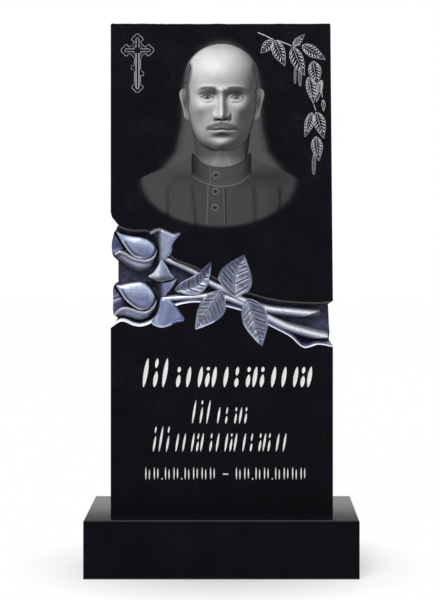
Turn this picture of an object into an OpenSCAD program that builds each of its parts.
// Headstone of black granite: an upright slab, the stele, standing on a low plinth.
// A sunk band with two rosebuds, their sepals, leaves and cut stems runs across the stele.
// Origin at the centre of the plinth's underside, front towards -Y, +Z up, millimetres.

/* [Stele] */
// Width of the stele
stele_w = 452; // [360:1:640]
// Height of the stele above the plinth
stele_h = 996; // [780:1:1300]
// Thickness of the stele
stele_d = 80; // [60:1:120]
// How far the right side draws in towards the top
top_draw = 5; // [0:1:12]
// Radius of the two top corners
corner_r = 4; // [1:0.5:12]

/* [Plinth] */
// Width of the plinth
plinth_w = 549; // [440:1:800]
// Depth of the plinth, front to back
plinth_d = 200; // [160:1:320]
// Height of the plinth
plinth_h = 117; // [80:1:200]
// Width of the worked arris along the plinth's edges
plinth_arris = 2; // [0.5:0.5:6]
// Ledge of the plinth in front of the stele
front_ledge = 54; // [20:1:70]

/* [Carved band] */
// Height of the band's middle above the plinth
band_z = 480; // [340:1:560]
// Depth of the sunk ground behind the polished face
ground_depth = 26; // [16:1:34]
// Width of the bevel along the band's edges
bevel_w = 5; // [2:0.5:8]
// Depth of that bevel
bevel_depth = 5; // [2:0.5:8]
// How far the band's walls lean in from bevel to ground
wall_lean = 3; // [0:0.5:6]
// Depth of the notch in the left side of the slab
left_notch = 13; // [6:1:20]
// Depth of the notch in the right side of the slab
right_notch = 7; // [3:1:14]

/* [Rosebuds] */
// Length of a rosebud from the slab's side to its round end
rose_length = 93; // [70:1:120]
// Height of the upper rosebud across its widest part
upper_rose_h = 84; // [64:1:104]
// Height of the lower rosebud across its widest part
lower_rose_h = 79; // [60:1:98]
// Height of the upper rosebud's middle above the band's middle
upper_rose_z = 51; // [40:1:62]
// Height of the lower rosebud's middle below the band's middle
lower_rose_z = 49; // [38:1:60]
// Depth of a petal's edge behind the polished face
petal_edge_depth = 15; // [8:1:20]
// Depth of the highest part of a petal
petal_top_depth = 2; // [1:0.5:6]
// Radius of the rolled lip of the lower petal
lip_r = 2.6; // [1.5:0.1:5]

/* [Leaves] */
// Depth of a leaf's edge behind the polished face
leaf_edge_depth = 4; // [2:0.5:8]
// Depth of a leaf's middle rib
leaf_rib_depth = 9; // [4:0.5:14]
// Width of the cut border where a leaf lies in the polished field
leaf_border = 2; // [0.5:0.5:4]

/* [Sepals] */
// Depth of a sepal's edge behind the polished face
sepal_edge_depth = 8; // [4:1:12]
// Depth of a sepal's middle
sepal_top_depth = 4; // [2:0.5:6]

/* [Stems] */
// Radius of the stems where they leave the rosebuds
thin_stem_r = 7; // [4:0.5:9]
// Radius of the stems at their cut ends
thick_stem_r = 10.5; // [8:0.5:14]
// Depth of the stems' backs behind the polished face
stem_top_depth = 8; // [4:1:10]
// Gap between the upper stem's cut end and the slab's side
stem_gap = 31; // [15:1:60]
// Gap between the lower stem's cut end and the slab's side
low_stem_gap = 9; // [5:1:40]

/* [Hidden] */

face_y = front_ledge - plinth_d / 2;
left_x = -stele_w / 2;
right_x = stele_w / 2;
// How deep the carving is rooted in the ground, and how far cuts start before the face
root = 2.1;
// Steps of a curve between two control points, and of a height curve across the slab
span_steps = 3;
trench_steps = 40;
dome_rings = 5;
leaf_steps = 8;
stem_sides = 10;
lip_sides = 10;
// Half width of a leaf at its two points
tip_w = 0.3;
// Power that brings a leaf's widest part nearer to its base
leaf_belly = 0.75;
// Slant of the upper and of the lower stem's cut end, in degrees from square
upper_cut = -60;
lower_cut = -68;

// The band's upper and lower edge on the polished face, as [x, height above the band's middle]
upper_edge = [
    [left_x - root, 125], [left_x + 17, 106], [left_x + 42, 97], [left_x + 82, 93],
    [left_x + 106, 66], [left_x + 128, 40], [-58, 24], [-6, -4], [56, -31],
    [116, -46], [right_x - 30, -51], [right_x + root, -48]];
lower_edge = [
    [left_x - root, -105], [left_x + 22, -90], [left_x + 46, -98], [left_x + 62, -100],
    [left_x + 84, -92], [left_x + 110, -70], [left_x + 140, -56], [-49, -51],
    [10, -60], [60, -76], [96, -98], [right_x - 87, -121], [right_x - 60, -143],
    [right_x - 30, -137], [right_x + root, -142]];

// The rosebuds' outlines, as shares of the length from the slab's side and of the half height:
// the whole bud, the big upper petal, and the lip of the petal below
upper_bud = [
    [0.02, 0.55], [0.05, 0.90], [0.11, 1.02], [0.25, 0.86], [0.46, 0.77], [0.67, 0.71], [0.84, 0.58],
    [0.98, 0.33], [1.02, 0.05], [0.91, -0.58], [0.80, -0.88], [0.65, -1.0], [0.50, -0.93],
    [0.36, -0.72], [0.22, -0.46], [0.08, -0.14], [0.02, 0.10]];
upper_petal = [
    [0.12, 0.96], [0.25, 0.84], [0.46, 0.75], [0.67, 0.69], [0.83, 0.55], [0.95, 0.30], [0.97, 0.05],
    [0.91, -0.19], [0.80, -0.34], [0.62, -0.33], [0.47, -0.19], [0.35, 0.10], [0.22, 0.55]];
upper_lip = [[0.10, -0.12], [0.20, 0.0], [0.33, -0.10], [0.47, -0.29], [0.67, -0.42], [0.84, -0.38],
             [0.94, -0.20]];
lower_bud = [
    [0.02, 0.40], [0.04, 0.72], [0.10, 0.82], [0.23, 0.85], [0.44, 0.95], [0.67, 1.0], [0.80, 0.87],
    [0.91, 0.57], [1.0, 0.21], [1.0, -0.14], [0.91, -0.57], [0.80, -0.87], [0.62, -1.0],
    [0.44, -0.90], [0.27, -0.80], [0.10, -0.80], [0.03, -0.60], [0.02, 0.0]];
lower_petal = [
    [0.12, 0.78], [0.24, 0.83], [0.44, 0.93], [0.66, 0.97], [0.78, 0.84], [0.89, 0.55], [0.96, 0.20],
    [0.91, -0.22], [0.80, -0.45], [0.62, -0.47], [0.44, -0.22], [0.29, 0.11], [0.18, 0.52]];
lower_lip = [[0.10, -0.67], [0.20, -0.44], [0.33, -0.37], [0.46, -0.44], [0.62, -0.57], [0.80, -0.57],
             [0.92, -0.36]];

// The sepals' outlines, as [distance from the slab's left side, height above the band's middle]
sepals = [
    [[95, 32], [98, 53], [92, 72], [80, 88], [86, 95], [99, 98], [113, 93], [128, 87], [140, 89],
     [129, 76], [123, 65], [122, 53], [113, 40]],
    [[103, 35], [96, 22], [86, 8], [76, 1], [88, -6], [97, -10], [112, -8], [128, -3], [121, 7], [113, 22]],
    [[70, -9], [91, -13], [119, -11], [133, -5], [123, -22], [107, -41], [97, -43], [96, -30], [88, -17]],
    [[111, -44], [119, -48], [130, -57], [138, -70], [148, -86], [132, -90], [117, -97], [101, -100],
     [85, -92], [92, -78], [98, -62], [101, -48]]];

// Leaves: [base, tip, width to the left of the rib as it grows, and to the right, bend to the left]
leaves = [
    [[-95, -28], [-23, 30], 20, 18, -19],
    [[26, -40], [45, 44], 32, 34, 8],
    [[-1, -28], [-52, -104], 28, 21, 0],
    [[52, -44], [81, -138], 29, 21, 0]];

// Weighted sum of four control points: a smooth curve that passes through b and c
function curve_point(a, b, c, d, t) =
    0.5 * (2 * b + (c - a) * t + (2 * a - 5 * b + 4 * c - d) * t * t + (3 * b - a - 3 * c + d) * t * t * t);

// A closed smooth outline through the control points p
function closed_curve(p) =
    let (n = len(p))
    [for (i = [0 : n - 1]) for (k = [0 : span_steps - 1])
        curve_point(p[(i + n - 1) % n], p[i], p[(i + 1) % n], p[(i + 2) % n], k / span_steps)];

// An open smooth line through the control points p
function open_curve(p) =
    let (n = len(p))
    [for (i = [0 : n - 2]) for (k = [0 : span_steps - 1])
        curve_point(p[max(i - 1, 0)], p[i], p[i + 1], p[min(i + 2, n - 1)], k / span_steps),
     p[n - 1]];

// Height of the smooth curve through the control points p at the place x
function span_at(p, x, i = 0) = (i >= len(p) - 2 || x <= p[i + 1][0]) ? i : span_at(p, x, i + 1);
function slope_at(p, i) =
    let (a = p[max(i - 1, 0)], b = p[min(i + 1, len(p) - 1)]) (b[1] - a[1]) / (b[0] - a[0]);
function height_at(p, x) =
    let (i = span_at(p, x), w = p[i + 1][0] - p[i][0], t = (x - p[i][0]) / w,
         s = t * t * (3 - 2 * t))
    p[i][1] * (1 - s) + p[i + 1][1] * s
    + w * t * (1 - t) * (slope_at(p, i) * (1 - t) - slope_at(p, i + 1) * t);

// Point of the carving from its place on the face and its depth behind it
function carved(p, depth) = [p[0], face_y + depth, plinth_h + band_z + p[1]];

function unit(v) = v / norm(v);
function mean(p) = [for (axis = [0, 1]) [for (q = p) q[axis]] * [for (q = p) 1] / len(p)];

// Area vector of a closed section: it points to the side from which the points run anticlockwise
function area_vector(s, j = 0) =
    j >= len(s) ? [0, 0, 0] : cross(s[j] - s[0], s[(j + 1) % len(s)] - s[0]) + area_vector(s, j + 1);
function reversed(s) = [for (j = [len(s) - 1 : -1 : 0]) s[j]];

// Solid stretched over closed sections that each have the same number of points
module skin(sections) {
    n = len(sections);
    m = len(sections[0]);
    forward = area_vector(sections[0]) * (sections[1][0] - sections[0][0]) > 0;
    polyhedron(
        points = [for (s = sections) for (q = forward ? s : reversed(s)) q],
        faces = concat(
            [[for (j = [0 : m - 1]) j]],
            [for (i = [0 : n - 2]) for (j = [0 : m - 1])
                let (a = i * m + j, b = i * m + (j + 1) % m) [b, a, a + m]],
            [for (i = [0 : n - 2]) for (j = [0 : m - 1])
                let (a = i * m + j, b = i * m + (j + 1) % m) [b, a + m, b + m]],
            [[for (j = [m - 1 : -1 : 0]) (n - 1) * m + j]]));
}

// Raised form with a rounded back: its outline drawn in ring by ring while it rises
module dome(outline, edge_depth, top_depth) {
    middle = mean(outline);
    // the last ring stops half a step short of the middle, which leaves a small flat on top
    ring_angles = [for (k = [0 : dome_rings]) 90 * k / (dome_rings + 0.5)];
    skin(concat(
        [[for (q = outline) carved(q, ground_depth + root)]],
        [for (a = ring_angles)
            [for (q = outline)
                carved(middle + (q - middle) * cos(a), edge_depth - (edge_depth - top_depth) * sin(a))]]));
}

// Blade of a leaf: pointed at both ends and folded along its rib
module blade(q, grow, edge_depth, rib_depth, floor_depth) {
    along = unit(q[1] - q[0]);
    across = [-along[1], along[0]];
    start = q[0] - along * grow;
    length = norm(q[1] - q[0]) + 2 * grow;
    skin([for (i = [0 : leaf_steps])
        let (t = i / leaf_steps,
             swell = sin(180 * pow(t, leaf_belly)),
             rib = start + along * length * t + across * q[4] * sin(180 * t),
             left = rib + across * (q[2] * swell + grow + tip_w),
             right = rib - across * (q[3] * swell + grow + tip_w))
        [carved(left, floor_depth), carved(left, edge_depth), carved(rib, rib_depth),
         carved(right, edge_depth), carved(right, floor_depth)]]);
}

// Outline of the slab as seen from the front, with the notches that the band cuts in its sides
module slab_outline() {
    notch_top = plinth_h + band_z;
    polygon(concat(
        [[left_x, plinth_h], [right_x, plinth_h]],
        // the right side, upwards
        [for (q = [[0, -140], [-0.9, -130], [-0.9, -124], [-0.7, -114], [-0.9, -98], [-1, -78],
                   [-1.2, -54], [0, -48]])
            [right_x + q[0] * right_notch, notch_top + q[1]]],
        [for (a = [0 : 30 : 90])
            [right_x - top_draw - corner_r * (1 - cos(a)), plinth_h + stele_h - corner_r * (1 - sin(a))]],
        [for (a = [90 : 30 : 180])
            [left_x + corner_r * (1 + cos(a)), plinth_h + stele_h - corner_r * (1 - sin(a))]],
        // the left side, downwards
        [for (q = [[0, 132], [0.2, 122], [1.2, 106], [0.7, 99], [0.4, 88], [0.1, 70], [0, 50],
                   [0.2, 42], [1, 32], [1, -11], [0.5, -14], [0.3, -25], [0.3, -66], [0.4, -78],
                   [0.9, -85], [0.5, -97], [0, -104]])
            [left_x + q[0] * left_notch, notch_top + q[1]]]));
}

module slab() {
    translate([0, face_y, 0]) rotate([90, 0, 0]) mirror([0, 0, 1])
        linear_extrude(stele_d) slab_outline();
}

// The sunk band: a bevelled trench between its upper and lower edge
module band_trench() {
    skin([for (i = [0 : trench_steps])
        let (x = left_x - root + (stele_w + 2 * root) * i / trench_steps,
             top = height_at(upper_edge, x),
             low = height_at(lower_edge, x),
             flare = root * bevel_w / bevel_depth)
        [carved([x, low - flare], -root), carved([x, low + bevel_w], bevel_depth),
         carved([x, low + bevel_w + wall_lean], ground_depth),
         carved([x, top - bevel_w - wall_lean], ground_depth),
         carved([x, top - bevel_w], bevel_depth), carved([x, top + flare], -root)]]);
}

// A rosebud lying on its side with its open end at the slab's left side
module rosebud(middle_z, half, bud_outline, petal_outline, lip_line) {
    function placed(p) = [for (q = p) [left_x + q[0] * rose_length, middle_z + q[1] * half]];
    lip = open_curve(placed(lip_line));
    lip_depth = petal_top_depth + 2 * lip_r;
    dome(closed_curve(placed(bud_outline)), petal_edge_depth, (petal_edge_depth + petal_top_depth) / 2);
    dome(closed_curve(placed(petal_outline)), petal_edge_depth / 2, petal_top_depth);
    for (i = [0 : span_steps : len(lip) - 1 - span_steps])
        hull() {
            // the roll itself and its root in the stone
            for (q = [lip[i], lip[i + span_steps]]) {
                translate(carved(q, lip_depth)) sphere(lip_r, $fn = lip_sides);
                translate(carved(q, ground_depth)) sphere(lip_r, $fn = lip_sides);
            }
        }
}

// A half-round stem through the points p, thickening from r_start to r_end, with a slanting cut at its end
module stem(p, r_start, r_end, end_cut) {
    last = len(p) - 1;
    function heading(i) =
        let (v = p[min(i + 1, last)] - p[max(i - 1, 0)]) atan2(v[1], v[0]);
    skin([for (i = [0 : last])
        let (r = r_start + (r_end - r_start) * i / last,
             cut = i == last ? end_cut : 0,
             across = [-sin(heading(i) + cut), cos(heading(i) + cut)] / cos(cut) * r,
             floor_depth = max(ground_depth, stem_top_depth + r) + root)
        concat(
            [for (k = [0 : stem_sides])
                let (a = 180 * k / stem_sides - 90)
                carved(p[i] + across * sin(a), stem_top_depth + r - r * cos(a))],
            [carved(p[i] + across, floor_depth), carved(p[i] - across, floor_depth)])]);
}

module stems() {
    stem([[left_x + 106, 38], [left_x + 168, 10], [-27, -11], [10, -30], [45, -50], [90, -66],
          [right_x - stem_gap - 60, -72], [right_x - stem_gap - 18, -77]],
         thin_stem_r, thick_stem_r, upper_cut);
    stem([[left_x + 108, -46], [left_x + 168, -42], [-20, -40], [10, -44], [60, -64], [96, -86],
          [right_x - low_stem_gap - 80, -105], [right_x - low_stem_gap - 26, -121]],
         thin_stem_r, thick_stem_r, lower_cut);
}

// A leaf and a sepal, and the clearing round each where it lies in the polished field
module leaf(q) { blade(q, 0, leaf_edge_depth, leaf_rib_depth, ground_depth + root); }
module leaf_clearing(q) { blade(q, leaf_border, -root, -root, leaf_rib_depth + root); }
function sepal_outline(p) = closed_curve([for (q = p) [left_x + q[0], q[1]]]);
module sepal(p) { dome(sepal_outline(p), sepal_edge_depth, sepal_top_depth); }
module sepal_clearing(p) {
    translate([0, face_y - root, plinth_h + band_z]) rotate([90, 0, 0]) mirror([0, 0, 1])
        linear_extrude(2 * root + sepal_edge_depth) offset(leaf_border) polygon(sepal_outline(p));
}

module stele() {
    color("#17171b") intersection() {
        slab();
        union() {
            difference() {
                slab();
                band_trench();
                for (q = leaves) leaf_clearing(q);
                for (p = sepals) sepal_clearing(p);
            }
            rosebud(upper_rose_z, upper_rose_h / 2, upper_bud, upper_petal, upper_lip);
            rosebud(-lower_rose_z, lower_rose_h / 2, lower_bud, lower_petal, lower_lip);
            for (q = leaves) leaf(q);
            for (p = sepals) sepal(p);
            stems();
        }
    }
}

// A block's section with its two upper corners worked off
module block_section(w) {
    polygon([[-w / 2, 0], [w / 2, 0], [w / 2, plinth_h - plinth_arris], [w / 2 - plinth_arris, plinth_h],
             [plinth_arris - w / 2, plinth_h], [-w / 2, plinth_h - plinth_arris]]);
}

module plinth() {
    color("#1b1b20") intersection() {
        rotate([90, 0, 0]) linear_extrude(plinth_d, center = true) block_section(plinth_w);
        rotate([90, 0, 90]) linear_extrude(plinth_w, center = true) block_section(plinth_d);
    }
}

stele();
plinth();
